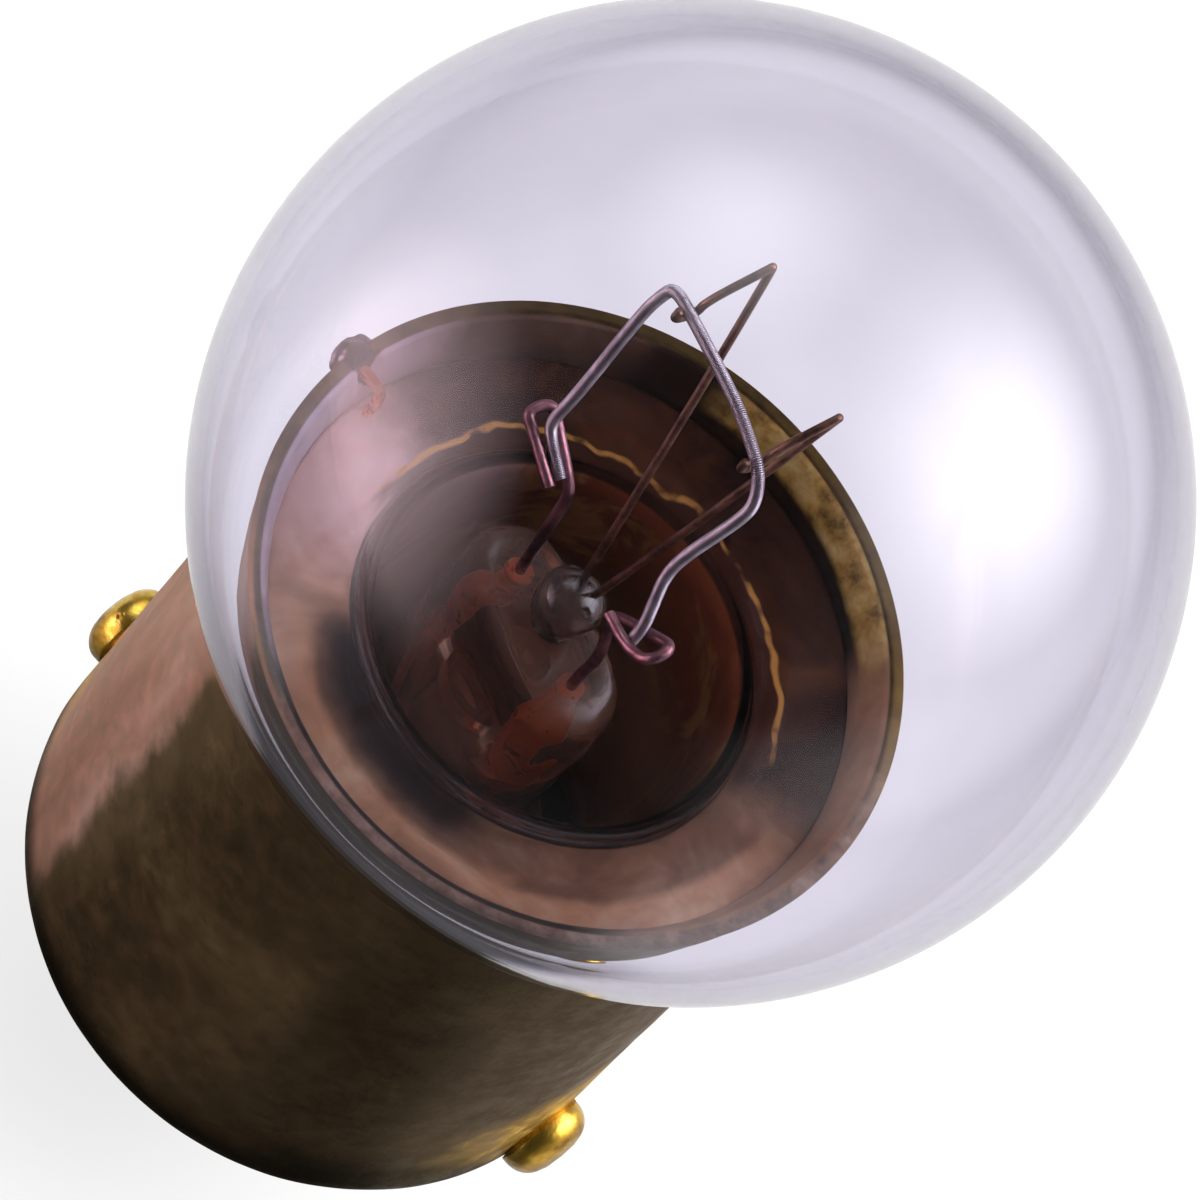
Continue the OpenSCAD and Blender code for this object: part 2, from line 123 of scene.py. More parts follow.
# %% [markdown]
# An outline is made of arcs and straight stretches, so each of them has a helper that gives its points.
# The soft step is for shapes that turn into one another without a crease.

# %% Arcs, straight stretches and a soft step
def arc(centre, r, a0, a1, step=2.0):
    count = max(1, math.ceil(abs(a1 - a0) / step))
    turns = [math.radians(a0 + (a1 - a0) * i / count) for i in range(count + 1)]
    return [(centre[0] + r * math.cos(a), centre[1] + r * math.sin(a)) for a in turns]


def between(a, b, count):
    """Points on the straight line from a to b, without b."""
    return [(a[0] + (b[0] - a[0]) * i / count, a[1] + (b[1] - a[1]) * i / count) for i in range(count)]


def ease(value, low, high):
    """0 below low, 1 above high, and a soft step between."""
    x = min(1, max(0, (value - low) / (high - low)))
    return x * x * (3 - 2 * x)


print("points in a quarter circle:", len(arc((0, 0), 1, 0, 90)))

# %% [markdown]
# ## Writing a material as a small recipe
# A real surface is never one colour. Each recipe starts from noise, turns it into a colour with a ramp,
# and uses other noise for the gloss and for small bumps. Wiring such nodes by hand is slow,
# so short helpers do it. Colours are written as they are seen, and turned into light values here.

# %% Colours and nodes
def linear(r, g, b):
    """A colour as it is seen, 0 to 255, as the light values that the shader works in."""
    shares = (r / 255, g / 255, b / 255)
    return tuple(c / 12.92 if c <= 0.04045 else ((c + 0.055) / 1.055) ** 2.4 for c in shares) + (1,)


def grey(level):
    return (level, level, level, 1)


class Nodes:
    """Short ways to add nodes to a tree. A value may be a number, a colour or another node's output."""

    def __init__(self, tree):
        self.tree = tree

    def node(self, kind, **inputs):
        node = self.tree.nodes.new(kind)
        for key, value in inputs.items():
            self.put(node.inputs[key.replace("_", " ")], value)
        return node

    def put(self, socket, value):
        if isinstance(value, bpy.types.NodeSocket):
            self.tree.links.new(value, socket)
        else:
            socket.default_value = value

    def span(self, value, low, high, to_low=0.0, to_high=1.0):
        """A soft step from to_low, where the value is low, to to_high, where it is high."""
        node = self.node("ShaderNodeMapRange", Value=value)
        node.interpolation_type = "SMOOTHSTEP"
        for socket, number in zip(list(node.inputs)[1:5], (low, high, to_low, to_high)):
            socket.default_value = number
        return node.outputs["Result"]

    def math(self, operation, a, b=0.0):
        node = self.tree.nodes.new("ShaderNodeMath")
        node.operation = operation
        self.put(node.inputs[0], a)
        self.put(node.inputs[1], b)
        return node.outputs[0]

    def both(self, *shares):
        """Shares multiplied: only where all of them hold."""
        product = shares[0]
        for share in shares[1:]:
            product = self.math("MULTIPLY", product, share)
        return product

    def vector(self, operation, a, b=(0, 0, 0)):
        node = self.tree.nodes.new("ShaderNodeVectorMath")
        node.operation = operation
        self.put(node.inputs[0], a)
        self.put(node.inputs[1], b)
        return node.outputs["Value" if operation in ("DOT_PRODUCT", "LENGTH") else "Vector"]


print("a white of 255 as light:", linear(255, 255, 255)[0])

# %% [markdown]
# Tarnish has a place: it is darker where dirt lies and brighter where hands and the holder rub. Painted light
# and shade have a place too.
# So a recipe can ask how far a point is from the axis, how high it is and which way round it lies.
# Each answer is a share between 0 and 1 that mixes two colours. Noise makes its edge ragged.

# %% Recipes that know their place
class Recipe(Nodes):
    """A material that starts from the principled shader."""

    def __init__(self, name):
        self.material = bpy.data.materials.new(name)
        self.material.use_nodes = True
        super().__init__(self.material.node_tree)
        self.shader = self.tree.nodes["Principled BSDF"]
        coordinates = self.tree.nodes.new("ShaderNodeTexCoord")
        self.place = coordinates.outputs["Object"]
        self.normal = coordinates.outputs["Normal"]

    def set(self, **inputs):
        for key, value in inputs.items():
            self.put(self.shader.inputs[key.replace("_", " ")], value)

    def noise(self, scale, detail=4.0, rough=0.6, warp=0.0, stretch=(1, 1, 1), turn=(0, 0, 0)):
        """Soft noise; scale counts its patches in a metre."""
        place = self.node("ShaderNodeMapping", Vector=self.place, Scale=stretch, Rotation=turn).outputs[0]
        return self.node("ShaderNodeTexNoise", Vector=place, Scale=scale, Detail=detail,
                         Roughness=rough, Distortion=warp).outputs["Fac"]

    def ramp(self, value, *stops):
        node = self.node("ShaderNodeValToRGB", Fac=value)
        band = node.color_ramp
        while len(band.elements) < len(stops):
            band.elements.new(0.5)
        for element, (at, colour) in zip(band.elements, stops):
            element.position = at
            element.color = colour
        return node.outputs["Color"]

    def tone(self, value, dark, mid, light):
        """Three shades of one finish, as they are seen, spread over the value."""
        return self.ramp(value, (0.3, linear(*dark)), (0.5, linear(*mid)), (0.7, linear(*light)))

    def stray(self, value, amount, scale, detail=4.0):
        """The value moved by noise, by up to half the amount either way."""
        drift = self.math("SUBTRACT", self.noise(scale, detail), 0.5)
        return self.math("ADD", value, self.math("MULTIPLY", drift, amount))

    def outward(self):
        """The direction square to the axis, and the distance from it."""
        flat = self.vector("MULTIPLY", self.place, (1, 1, 0))
        return self.vector("NORMALIZE", flat), self.vector("LENGTH", flat)

    def facing(self, azimuth, half, soft, ragged=0.0, scale=400):
        """Share 1 within half degrees of an azimuth from the X axis, gone soft degrees further on."""
        a = math.radians(azimuth)
        dot = self.vector("DOT_PRODUCT", self.outward()[0], (math.cos(a), math.sin(a), 0))
        dot = self.stray(dot, ragged, scale)
        return self.span(dot, math.cos(math.radians(half + soft)), math.cos(math.radians(half)))

    def within(self, length, gone, full):
        """Share 1 where a length is full millimetres or past it, and 0 at gone millimetres."""
        if gone < full:
            return self.span(length, gone * MM, full * MM)
        return self.span(length, full * MM, gone * MM, 1.0, 0.0)

    def height(self, gone, full, ragged=0.0, scale=600):
        """The same for the height; ragged is how far noise moves the edge, in millimetres."""
        z = self.vector("DOT_PRODUCT", self.place, (0, 0, 1))
        return self.within(self.stray(z, ragged * MM, scale), gone, full)

    def radius(self, gone, full, ragged=0.0, scale=300):
        """The same for the distance from the axis."""
        return self.within(self.stray(self.outward()[1], ragged * MM, scale, 3), gone, full)

    def mix(self, share, a, b, blend="MIX"):
        node = self.tree.nodes.new("ShaderNodeMix")
        node.data_type = "RGBA"
        node.blend_type = blend
        self.put(node.inputs[0], share)
        self.put(node.inputs[6], a)
        self.put(node.inputs[7], b)
        return node.outputs[2]

    def bump(self, height, depth_mm):
        self.set(Normal=self.node("ShaderNodeBump", Height=height, Distance=depth_mm * MM).outputs[0])


print("a recipe can ask for:", [name for name in vars(Recipe) if name[0] != "_"])

# %% [markdown]
# A finished piece either keeps its drawn mesh and only gets a material, or a finer mesh stands in for it.
# Both are fixed to the bulb, so that the piece moves with it. A stand-in hides the drawn pieces that it
# replaces.

# %% Giving a piece its finish
def dress(piece, recipe):
    """Gives the piece its finish and fixes it to the bulb."""
    piece.data.materials.clear()
    piece.data.materials.append(recipe.material)
    if "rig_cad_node" not in piece:
        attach(piece, "root")
    print(piece.name, "wears", recipe.material.name)


def stand_in(piece, recipe, *names):
    """A finer piece takes the place of one or more drawn ones."""
    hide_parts(*names)
    dress(piece, recipe)


print("pieces can be dressed")

# %% [markdown]
# ## The blown globe
# The globe is blown and gathered into a neck, so its wall is thin and its lower shoulder is round.
# A sphere could be pulled into that form, but an outline of three arcs holds the real radii.
# The wall is a real shell with an outside and an inside, because both faces bend and reflect light.

# %% Globe outline
globe_r, globe_z, wall = 11.0, 22.0, 0.4
shoulder_r, shoulder_from, shoulder_to, fillet = 1.8, 58.0, 12.0, 0.8
neck_r, neck_z, lip_hole_r = 4.9, 2.6, 3.0
a_from, a_to = math.radians(shoulder_from), math.radians(shoulder_to)
swing = globe_r - shoulder_r
shoulder_c = (swing * math.sin(a_from), globe_z - swing * math.cos(a_from))
shoulder_end = (shoulder_c[0] + shoulder_r * math.sin(a_to), shoulder_c[1] - shoulder_r * math.cos(a_to))
fillet_r = neck_r + fillet
fillet_z = shoulder_end[1] - (shoulder_end[0] - fillet_r) * math.tan(a_to) - fillet / math.cos(a_to)
rim_z = shoulder_c[1] - shoulder_r - 0.15


def glass_outline(t, low):
    """One face of the glass, t inside the outer one, from the globe's top to the neck's foot."""
    return (
        [(0, globe_z + globe_r - t)]
        + arc((0, globe_z), globe_r - t, 88, shoulder_from - 90)
        + arc(shoulder_c, shoulder_r - t, shoulder_from - 92, shoulder_to - 90)
        + arc((fillet_r, fillet_z), fillet + t, 90 + shoulder_to, 180, 6)
        + between((neck_r - t, fillet_z - 1), (neck_r - t, low), 6)
        + [(neck_r - t, low)]
    )


globe = spin("globe_glass", (
    glass_outline(0, neck_z)
    + [(lip_hole_r, neck_z), (lip_hole_r, neck_z + wall)]
    + list(reversed(glass_outline(wall, neck_z + wall)))
), around=256)
print("height of the cap's rim in mm:", round(rim_z, 3))

# %% [markdown]
# Old clear glass was cleared with manganese, which daylight slowly turns lavender. The lavender is in the
# body of the glass, so light is coloured by the depth of glass that it crosses. The faces only carry
# a faint film, and a very low, wide bump gives the slow waves of blown glass.
# A tint on the mirror images tones them down, most of all at the shoulder and neck, so that the throat
# stays clear.

# %% Globe glass
def glass(name, light, dark, waves=0.004, cloud=260, gleam=0.55, clear=1.0):
    """Polished glass; waves is the height of its ripples in mm, gleam the share of its mirror image."""
    recipe = Recipe(name)
    recipe.set(
        Base_Color=recipe.ramp(recipe.noise(cloud, 3, 0.5), (0.3, light), (0.75, dark)),
        Roughness=0.0, IOR=1.5, Transmission_Weight=clear, Specular_Tint=grey(gleam),
    )
    recipe.bump(recipe.noise(180, 2, 0.5), waves)
    return recipe


globe_gleam, neck_gleam = 0.55, 0.08
lavender = glass("lavender_glass", linear(252, 251, 253), linear(247, 246, 249))
body = lavender.node("ShaderNodeVolumeAbsorption", Color=(0.36, 0.3, 0.54, 1), Density=560)
lavender.put(lavender.tree.nodes["Material Output"].inputs["Volume"], body.outputs[0])
shoulder = lavender.height(17.5, 16.0)
lavender.set(Specular_Tint=lavender.mix(shoulder, grey(globe_gleam), grey(neck_gleam)))
stand_in(globe, lavender, "glass_bulb")

# %% [markdown]
# ## The stem inside the neck
# The stem is a flared tube whose upper end was softened and pinched flat round the sealing wires.
# It is turned like the globe, and then every ring above the foot of the pinch is pressed from a circle
# towards a flat, blunt oval. The glass is whole round the copper, as it is after a good seal.

# %% Stem shape
TURN = math.radians(-18)
stem_x, stem_r, stem_wall, flare_r, flare_bend_r = -0.5, 2.6, 0.5, 3.9, 1.2
press_z, press_h, press_t, press_edge = 14.1, 4.0, 2.7, 0.7
press_bottom = press_z - press_h
brim_z = neck_z + wall + 0.02
core_edge = 0.6


def turned(x, y, z):
    """From the mount's own directions to the cap's."""
    return Vector((x * math.cos(TURN) - y * math.sin(TURN), x * math.sin(TURN) + y * math.cos(TURN), z))


def press_shape(p):
    """Flattens the tube above the pinch and moves it onto the stem's own axis."""
    share = ease(p.z, press_bottom - 0.2, press_bottom + press_h * 0.6)
    r, a = math.hypot(p.x, p.y) / stem_r, math.atan2(p.y, p.x)
    blunt = [math.copysign(abs(c) ** 0.75, c) for c in (math.cos(a), math.sin(a))]
    flat = Vector((blunt[0] * r * (stem_r + 0.1), blunt[1] * r * press_t / 2, p.z))
    lump = 0.05 * share * noise.noise(p * 0.9)
    q = p.lerp(flat, share) * (1 + lump)
    return turned(q.x + stem_x, q.y, p.z)


def stem_side(t):
    """The bend of the flare and the tube above it, t inside the outer face."""
    bend_z = brim_z + stem_wall + flare_bend_r
    return (
        arc((stem_r + flare_bend_r, bend_z), flare_bend_r + t, 270, 180, 6)
        + between((stem_r - t, bend_z + 0.5), (stem_r - t, press_bottom), 8)
    )


stem = spin("stem_glass", (
    [(flare_r, brim_z), (flare_r, brim_z + stem_wall)]
    + stem_side(0)
    + between((stem_r, press_bottom), (stem_r, press_z - press_edge), 14)
    + arc((stem_r - press_edge, press_z - press_edge), press_edge, 0, 90, 15)
    + between((stem_r - press_edge - 0.3, press_z), (0, press_z), 6)
    + [(0, press_z), (0, press_bottom)]
    + arc((stem_r - stem_wall - core_edge, press_bottom - core_edge), core_edge, 90, 0, 15)
    + list(reversed(stem_side(stem_wall)))
), around=128, shape=press_shape)

# %% [markdown]
# The bead on top of the pinch was a drop of molten glass, so it is a slightly uneven ball on a short neck.
# Its glass is darker than the rest and carries the feet of both supports.
# Stem, tube and bead are a little cloudy, as glass that was worked in a flame often is.

# %% Bead, and the finish of the inner glass
bead_z, bead_r, bead_neck = press_z + 1.2, 0.85, 0.42


def bead_shape(p):
    swell = 1 + 0.09 * noise.noise(p * 1.3 + Vector((4, 0, 0)))
    return turned(p.x * swell + stem_x, p.y * swell, p.z)


bead = spin("bead_glass", (
    [(0, bead_z + bead_r)]
    + arc((0, bead_z), bead_r, 84, -56, 6)
    + [(bead_neck, bead_z - bead_r), (bead_neck + 0.08, press_z + 0.1), (0, press_z + 0.05)]
), around=64, shape=bead_shape)

cloudy = 0.93
# Painted shade: the stem and tube glass is tinted darker and browner, standing in for the dim brown neck
# round it.
dim = (linear(226, 178, 154), linear(196, 142, 118))
smoky = (linear(168, 146, 136), linear(112, 92, 84))
stand_in(stem, glass("stem_glass", *dim, waves=0.02, gleam=0.45, clear=cloudy), "glass_stem")
dress(nodes["exhaust_tube"], glass("tube_glass", *dim, waves=0.02, gleam=0.45, clear=cloudy))
stand_in(bead, glass("bead_glass", *smoky, waves=0.03, cloud=900, gleam=1.0, clear=cloudy), "stem_bead")

# %% [markdown]
# ## Sweeping a wire
# The other pieces inside the globe are wires. A wire is a ring of points carried along a line. A curve
# with a bevel could do that too, but in code the line may be a helix and the radius may wander.
# Corners are cut off again and again until the bend is round, and the ring is turned as little
# as possible on its way, so the wire doesn't twist.

# %% Wire helpers
def cut_corners(points, passes):
    for _ in range(passes):
        cut = [points[0]]
        for a, b in zip(points, points[1:]):
            cut += [a.lerp(b, 0.25), a.lerp(b, 0.75)]
        points = cut + [points[-1]]
    return points


def frames_along(points):
    """A direction and two side directions at each point, turned as little as possible on the way."""
    steps = [(b - a).normalized() for a, b in zip(points, points[1:])]
    ahead = [steps[0]] + [(a + b).normalized() for a, b in zip(steps, steps[1:])] + [steps[-1]]
    side = ahead[0].orthogonal().normalized()
    frames = []
    for t in ahead:
        side = (side - t * side.dot(t)).normalized()
        frames.append((t, side, t.cross(side)))
    return frames


def sweep(mesh, points, radius, sides=12):
    """A round wire along points; radius is one number or a function of the share of the way along."""
    rings = []
    last = len(points) - 1
    for i, (p, (_, u, v)) in enumerate(zip(points, frames_along(points))):
        r = radius(i / last) if callable(radius) else radius
        rings.append([
            mesh.verts.new((p + r * (math.cos(a) * u + math.sin(a) * v)) * MM)
            for a in (2 * math.pi * k / sides for k in range(sides))
        ])
    for low, high in zip(rings, rings[1:]):
        for k in range(sides):
            m = (k + 1) % sides
            mesh.faces.new((low[k], low[m], high[m], high[k]))
    mesh.faces.new(list(reversed(rings[0])))
    mesh.faces.new(rings[-1])


def wire(name, points, radius, sides=12, passes=4):
    mesh = bmesh.new()
    sweep(mesh, cut_corners(points, passes), radius, sides)
    return add_object(name, mesh)


print("wires can be drawn")

# %% [markdown]
# ## The coiled filament
# The filament is a hair-thin wire wound into a close coil, and the coil hangs in three stretches
# between the leads and two supports. First comes the line that it follows. It hangs in one plane,
# its corners are where the supports hold it, and small offsets give it the sag of a used coil.

# %% Filament line
exhaust_r, coil_rise, coil_r = 0.85, 7.9, 0.15
seal_out = (exhaust_r + stem_r - stem_wall) / 2
left_x, right_x = stem_x - seal_out, stem_x + seal_out
left_end, right_end = left_x - 1.95, right_x + 0.3
coil_z0 = press_z + 3.2
coil_z1 = coil_z0 + coil_rise
coil_line = [turned(*p) for p in (
    (left_end + 1.15, 0, coil_z0 - 0.1),
    (left_end + 0.15, 0, coil_z0 + 0.3),
    (left_end, 0, coil_z0 + 0.75),
    (left_end + 0.05, 0, coil_z0 + coil_rise * 0.25),
    (left_end - 0.08, 0, coil_z1 - 1.8),
    (left_end - 0.02, 0, coil_z1 - 0.9),
    (left_end + 0.1, 0, coil_z1 - 0.1),
    (left_end + 1, 0, coil_z1 + 0.03),
    (left_end + 3, 0, coil_z1 + 0.25),
    (right_end - 1.4, 0, coil_z1 + 0.15),
    (right_end - 0.6, 0, coil_z1),
    (right_end - 0.1, 0, coil_z1 - 0.7),
    (right_end - 0.1, 0, coil_z1 - 1.6),
    (right_end - 0.45, 0, coil_z0 + coil_rise * 0.47),
    (right_end - 0.5, 0, coil_z0 + coil_rise * 0.32),
    (right_end - 0.25, 0, coil_z0 + coil_rise * 0.2),
    (right_end, 0, coil_z0 + 0.7),
    (right_end + 0.02, 0, coil_z0 - 0.1),
)]
length = sum((b - a).length for a, b in zip(coil_line, coil_line[1:]))
print("filament line in mm:", round(length, 1))

# %% [markdown]
# The turns of the coil are real: points are set an even gap apart along the line, each is moved out
# to the side by a turning angle, and a very thin wire is swept through them.
# A striped bump would be cheaper, but it would give the coil a smooth outline.

# %% Filament coil
strand_r, pitch = 0.022, 0.046


def even_points(points, gap):
    """Points a fixed gap apart along a line."""
    out, carried = [points[0]], 0.0
    for a, b in zip(points, points[1:]):
        length = (b - a).length
        at = gap - carried
        while at <= length:
            out.append(a.lerp(b, at / length))
            at += gap
        carried = (carried + length) % gap
    return out


def coil(name, line, outer_r, wire_r, pitch, per_turn=12, sides=5):
    core = even_points(cut_corners(line, 5), pitch / per_turn)
    helix = []
    for i, (p, (_, u, v)) in enumerate(zip(core, frames_along(core))):
        a = 2 * math.pi * i / per_turn
        helix.append(p + (outer_r - wire_r) * (math.cos(a) * u + math.sin(a) * v))
    mesh = bmesh.new()
    sweep(mesh, helix, wire_r, sides)
    print(name, "turns:", round(len(core) / per_turn))
    return add_object(name, mesh)


filament = coil("filament_coil", coil_line, coil_r, strand_r, pitch)
tungsten = Recipe("tungsten")
skin = tungsten.noise(900, 3)
tungsten.set(
    Base_Color=tungsten.ramp(skin, (0.3, linear(214, 204, 214)), (0.7, linear(160, 148, 158))),
    Metallic=1.0, Roughness=tungsten.span(tungsten.noise(1500), 0.3, 0.7, 0.3, 0.45),
)
stand_in(filament, tungsten, "filament")

# %% [markdown]
# ## Leads and supports
# Each lead comes out of the glass, leans outwards and is folded over one end of the coil.
# The two supports are thinner. They stand up behind the coil and fold forward round it.
# Their lines are short lists of bends, as a fitter would make them with pliers.

# %% Lines of the leads and supports
lead_r, support_r = 0.14, 0.1
hook = coil_r + support_r + 0.05
clamp = coil_r + lead_r + 0.02
back, foot_out = 1.7, 0.16
seal_low, seal_top = press_bottom - 0.4, press_z - 0.35


def support_line(x, z, foot):
    """From the bead at foot, up behind the coil, and round its corner at (x, z)."""
    return [turned(*p) for p in (
        (foot, 0.2, bead_z + 0.1),
        ((foot + x) / 2, (0.2 + back) / 2, (bead_z + z + 1.3) / 2),
        (x - 0.1, back, z + 1.2),
        (x - 0.05, back - 0.15, z + 1.25),
        (x, hook, z + 0.35),
        (x, hook, z - hook),
        (x, -hook, z - hook),
        (x, -hook, z + 0.15),
    )]


left_support = support_line(left_end + 0.75, coil_z1, stem_x - foot_out)
right_support = support_line(right_end - 0.8, coil_z1 - 0.05, stem_x + foot_out)
left_lead = [turned(*p) for p in (
    (left_x, 0, seal_top - 0.1),
    (left_x - 0.1, 0, press_z + 0.5),
    (left_x - 0.3, 0.15, press_z + 1.6),
    (left_x - 0.5, clamp, press_z + 2.4),
    (left_x - 0.65, clamp, coil_z0 - 0.35),
    (left_end, clamp, coil_z0 + 0.25),
    (left_end - 0.47, clamp, coil_z0 + 0.45),
    (left_end - 0.47, -clamp, coil_z0 + 0.3),
    (left_end - 0.1, -clamp, coil_z0 + 0.2),
    (left_end + 1.25, -clamp, coil_z0 - 0.15),
)]
right_lead = [turned(*p) for p in (
    (right_x, 0, seal_top - 0.1),
    (right_x - 0.05, 0.05, press_z + 0.5),
    (right_x - 0.05, 0.15, press_z + 1.2),
    (right_x - 0.55, clamp, press_z + 2.2),
    (right_x - 0.5, clamp, coil_z0 - 0.75),
    (right_end + 0.15, clamp, coil_z0 + 0.35),
    (right_end + 0.75, clamp, coil_z0 + 1),
    (right_end + 0.85, -clamp, coil_z0 + 0.75),
    (right_end + 0.25, -clamp, coil_z0 + 0.15),
    (right_end - 0.7, -clamp, coil_z0),
)]
print("top of the supports in mm:", round(max(p.z for p in left_support + right_support), 2))

# %% [markdown]
# The first heat of the filament oxidises the wires near it: the supports went brown and the leads mauve.
# Both are one recipe with other tones, a fine noise for the skin and a little roughness.

# %% Wires and their finish
def wire_metal(name, light, dark, rough=0.35):
    recipe = Recipe(name)
    recipe.set(
        Base_Color=recipe.ramp(recipe.noise(1200, 5, 0.7), (0.35, dark), (0.65, light)),
        Metallic=1.0, Roughness=recipe.span(recipe.noise(2500), 0.3, 0.7, rough, rough + 0.2),
    )
    recipe.bump(recipe.noise(4000, 3), 0.01)
    return recipe


brown_wire = wire_metal("oxidised_support", linear(158, 118, 100), linear(92, 66, 56))
mauve_wire = wire_metal("heat_tinted_lead", linear(178, 128, 138), linear(110, 74, 80))
for name, line, radius, metal in (
    ("support_wire_left", left_support, support_r, brown_wire),
    ("support_wire_right", right_support, support_r, brown_wire),
    ("lead_wire_left", left_lead, lead_r, mauve_wire),
    ("lead_wire_right", right_lead, lead_r, mauve_wire),
):
    stand_in(wire(name + "_drawn", line, radius), metal, name)

# %% [markdown]
# The wires that pass through the glass are coated with copper, which swells and shrinks as glass does.
# The coat is lumpy where the glass wetted it, so the radius wanders a little along the wire.
# It is drawn a little thick, because round glass magnifies what is sealed into it.

# %% Sealing wires
coat_r, coat_lump, steps = 0.33, 0.07, 40
copper = wire_metal("copper_coat", linear(255, 160, 104), linear(236, 112, 64), 0.25)
copper.set(Metallic=0.6)
for name, x in (("seal_wire_left", left_x), ("seal_wire_right", right_x)):
    line = [turned(x, 0, seal_low + (seal_top - seal_low) * i / steps) for i in range(steps + 1)]
    swollen = [coat_r + coat_lump * noise.noise(Vector((x, 0, i / 4))) for i in range(steps + 1)]
    seal = wire(name + "_coat", line, lambda share, swollen=swollen: swollen[round(share * steps)], passes=0)
    stand_in(seal, copper, name)
for name in ("shell_lead", "contact_lead"):
    dress(nodes[name], copper)

# %% [markdown]
# ## The tarnished cap
# The shell is drawn from thin brass sheet, turned in at the end and flared at the rim.
# It is turned again here with a finer outline, a cut for the lead in its rim, and the faint dents
# of a cap that went in and out of its holder for years.

# %% Shell sheet
shell_r, sheet, shell_drop, corner_r, end_hole_r = 7.6, 0.35, 1.8, 1.6, 5.4
rim_flare, flare_h, notch_w, notch_h = 0.45, 1.1, 0.6, 0.6
flare_bend = (flare_h ** 2 + rim_flare ** 2) / (2 * rim_flare)


def shell_side(t):
    """The corner, the wall and the flare of one face, t inside the outer one."""
    bend_end = 180 - math.degrees(math.asin(flare_h / (flare_bend + t)))
    bend = arc((shell_r + flare_bend, rim_z - flare_h), flare_bend + t, 180, bend_end)
    corner = arc((shell_r - corner_r, corner_r - shell_drop), corner_r - t, -90, 0, 6)
    return corner + between(corner[-1], bend[0], 40)[1:] + bend


def shell_shape(p):
    """Small dents outside, and the cut in the rim where the lead comes through."""
    dent = 0.03 * noise.noise(p * 0.35) + 0.012 * noise.noise(p * 1.1 + Vector((7, 0, 0)))
    flat = Vector((p.x, p.y, 0)).normalized()
    q = p + flat * dent * ease(p.z, -1.8, 0) * (1 - ease(p.z, rim_z - 1.2, rim_z - 0.4))
    if p.x < 0 and abs(p.y) < notch_w / 2 and q.z > rim_z - notch_h:
        q.z = rim_z - notch_h
    return q


shell = spin("shell_sheet", (
    [(end_hole_r, sheet - shell_drop), (end_hole_r, -shell_drop)]
    + shell_side(0) + list(reversed(shell_side(sheet)))
), around=256, shape=shell_shape)

# %% [markdown]
# Tarnish and light are painted by place. One side is painted paler and pinkish as painted light, the rest is
# olive brown.
# The near side, its lower part most, and the lower corner are darkened as painted shade, and the side by the
# right stud is greyer.
# The near part of the rim's lip is painted a lighter tan as painted light, and the brass is bare round the
# studs where the holder's slots rub.
# A sector is its middle, its half width and its soft edge, in degrees. Middles count from the right stud.

# %% Tarnish, painted light and painted shade on the outside
lit, lit_fade, greyer_side, shaded = (204, 30, 6), (226, 32, 40), (355, 18, 22), (325, 18, 22)
low_shade_side, lit_lip_side = (325, 10, 16), (318, 58, 20)
tarnish = Recipe("tarnished_shell")
cloud = tarnish.noise(220, 5, 0.62, 0.4)
grain = tarnish.noise(1500, 4, 0.7)
streak = tarnish.noise(300, 3, 0.6, 0.2, (1, 1, 0.25), (0.5, 0.3, 0))
bare = tarnish.tone(grain, (128, 92, 40), (182, 142, 64), (220, 184, 96))

colour = tarnish.tone(cloud, (72, 58, 39), (92, 75, 51), (116, 97, 69))
# Painted light: one side of the shell is paler and pinkish, as where light falls on it.
pale = tarnish.tone(streak, (146, 106, 90), (174, 132, 116), (202, 166, 154))
lit_side = tarnish.both(tarnish.facing(*lit, 0.12), tarnish.facing(*lit_fade, 0.4))
colour = tarnish.mix(lit_side, colour, pale)
# A greyer tone on the side by the right stud, above the corner.
greyer_tone = tarnish.tone(streak, (70, 53, 44), (90, 70, 59), (118, 96, 86))
greyer_share = tarnish.both(tarnish.facing(*greyer_side, 0.25), tarnish.height(1, 5), 0.8)
colour = tarnish.mix(greyer_share, colour, greyer_tone)
# Painted shade: the near side is darkened.
colour = tarnish.mix(tarnish.both(tarnish.facing(*shaded), 0.6), colour, linear(42, 31, 24))
for side in (1, -1):
    from_stud = tarnish.vector("SUBTRACT", tarnish.place, (side * shell_r * MM, 0, 0.6 * MM))
    away = tarnish.stray(tarnish.vector("LENGTH", from_stud), 2.4 * MM, 900)
    colour = tarnish.mix(tarnish.both(tarnish.within(away, 4.3, 2.2), 0.9), colour, bare)
colour = tarnish.mix(tarnish.both(tarnish.height(rim_z - 0.5, rim_z - 0.15, 0.3), 0.35), colour, bare)
# Painted shade: the lower corner is painted nearly black.
colour = tarnish.mix(tarnish.height(0.7, -0.5, 0.5), colour, linear(8, 7, 6))
# Painted shade: the near lower side is darkened further.
low_shade = tarnish.both(tarnish.height(2.2, 0.2, 1.0), tarnish.facing(*low_shade_side, 0.2), 0.9)
colour = tarnish.mix(low_shade, colour, linear(12, 10, 8))
# Painted light: the near part of the rim's lip is painted a lighter tan.
lip = tarnish.both(tarnish.facing(*lit_lip_side, 0.1), tarnish.height(rim_z - 0.9, rim_z - 0.4, 0.3), 0.8)
colour = tarnish.mix(lip, colour, tarnish.tone(grain, (150, 116, 96), (182, 146, 122), (210, 178, 154)))
print("nodes so far:", len(tarnish.tree.nodes))
